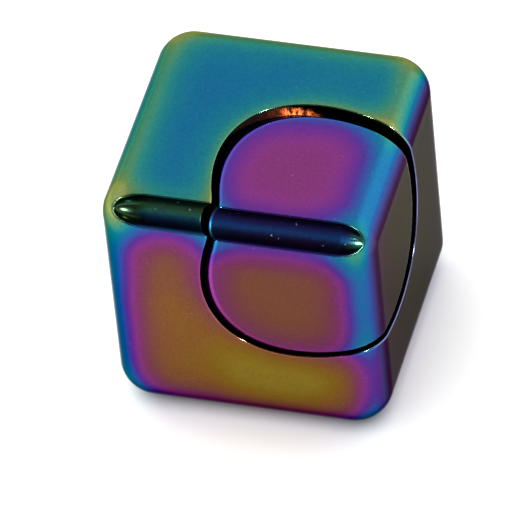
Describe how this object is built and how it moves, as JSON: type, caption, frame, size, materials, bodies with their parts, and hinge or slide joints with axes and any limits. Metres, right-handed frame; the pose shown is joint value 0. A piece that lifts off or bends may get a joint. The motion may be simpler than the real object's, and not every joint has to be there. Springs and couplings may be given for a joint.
{
  "type": "fidget cube",
  "caption": "Metal fidget cube with rounded edges whose two opposite corner caps spin together on an enclosed ball bearing; a finger groove crosses an edge.",
  "frame": {"origin": "centre of the cube and of its ball bearing", "axes": "+Z out of the top face, -Y out of the front face with the finger groove along its top edge, +X out of the right face; the spin axis runs through the origin to the top front right corner"},
  "size_m": [0.025, 0.0252, 0.025],
  "materials": {
    "rainbow_coating_body": "vapour-coated zinc casting, oil-slick colours from gold through violet and blue to teal and olive green, smooth satin",
    "rainbow_coating_cap": "vapour-coated zinc casting, oil-slick colours, violet to bronze faces with blue edges, smooth satin",
    "stud_steel": "zinc-plated",
    "spacer_brass": "turned",
    "bearing_steel": "ground and polished",
    "cage_steel": "pressed, lightly oiled",
    "rivet_steel": "cold-headed",
    "shield_steel": "rolled sheet",
    "clip_steel": "spring wire, dark",
    "ball_steel": "mirror polished"
  },
  "bodies": {
    "cube": {"cube_body": "rainbow_coating_body", "bearing_outer_ring": "bearing_steel", "upper_shield": "shield_steel", "lower_shield": "shield_steel", "upper_shield_clip": "clip_steel", "lower_shield_clip": "clip_steel"},
    "caps": {"upper_cap": "rainbow_coating_cap", "lower_cap": "rainbow_coating_cap", "joining_stud": "stud_steel", "upper_spacer": "spacer_brass", "lower_spacer": "spacer_brass", "bearing_inner_ring": "bearing_steel"},
    "cage": {"upper_cage_half": "cage_steel", "lower_cage_half": "cage_steel", "cage_rivets": "rivet_steel"},
    "rolling_ball_1": {"ball_1": "ball_steel"},
    "rolling_ball_2": {"ball_2": "ball_steel"},
    "rolling_ball_3": {"ball_3": "ball_steel"},
    "rolling_ball_4": {"ball_4": "ball_steel"},
    "rolling_ball_5": {"ball_5": "ball_steel"},
    "rolling_ball_6": {"ball_6": "ball_steel"},
    "rolling_ball_7": {"ball_7": "ball_steel"}
  },
  "joints": [
    {"name": "cap_spin", "type": "hinge", "parent": "cube", "child": "caps", "pos_m": [0, 0, 0], "axis": [0.5774, -0.5774, 0.5774], "continuous": true},
    {"name": "cage_spin", "type": "hinge", "parent": "cube", "child": "cage", "pos_m": [0, 0, 0], "axis": [0.5774, -0.5774, 0.5774], "continuous": true},
    {"name": "ball_1_roll", "type": "hinge", "parent": "cage", "child": "rolling_ball_1", "pos_m": [0.00592, 0.00158, -0.00433], "axis": [0.5774, -0.5774, 0.5774], "continuous": true},
    {"name": "ball_2_roll", "type": "hinge", "parent": "cage", "child": "rolling_ball_2", "pos_m": [0.00493, 0.00561, 0.00069], "axis": [0.5774, -0.5774, 0.5774], "continuous": true},
    {"name": "ball_3_roll", "type": "hinge", "parent": "cage", "child": "rolling_ball_3", "pos_m": [0.00023, 0.00541, 0.00519], "axis": [0.5774, -0.5774, 0.5774], "continuous": true},
    {"name": "ball_4_roll", "type": "hinge", "parent": "cage", "child": "rolling_ball_4", "pos_m": [-0.00464, 0.00114, 0.00578], "axis": [0.5774, -0.5774, 0.5774], "continuous": true},
    {"name": "ball_5_roll", "type": "hinge", "parent": "cage", "child": "rolling_ball_5", "pos_m": [-0.00602, -0.00399, 0.00202], "axis": [0.5774, -0.5774, 0.5774], "continuous": true},
    {"name": "ball_6_roll", "type": "hinge", "parent": "cage", "child": "rolling_ball_6", "pos_m": [-0.00286, -0.00612, -0.00326], "axis": [0.5774, -0.5774, 0.5774], "continuous": true},
    {"name": "ball_7_roll", "type": "hinge", "parent": "cage", "child": "rolling_ball_7", "pos_m": [0.00245, -0.00364, -0.00609], "axis": [0.5774, -0.5774, 0.5774], "continuous": true}
  ],
  "couplings": [
    {"joint": "cage_spin", "follows": "cap_spin", "ratio": 0.3677},
    {"joint": "ball_1_roll", "follows": "cap_spin", "ratio": -1.7573},
    {"joint": "ball_2_roll", "follows": "cap_spin", "ratio": -1.7573},
    {"joint": "ball_3_roll", "follows": "cap_spin", "ratio": -1.7573},
    {"joint": "ball_4_roll", "follows": "cap_spin", "ratio": -1.7573},
    {"joint": "ball_5_roll", "follows": "cap_spin", "ratio": -1.7573},
    {"joint": "ball_6_roll", "follows": "cap_spin", "ratio": -1.7573},
    {"joint": "ball_7_roll", "follows": "cap_spin", "ratio": -1.7573}
  ]
}
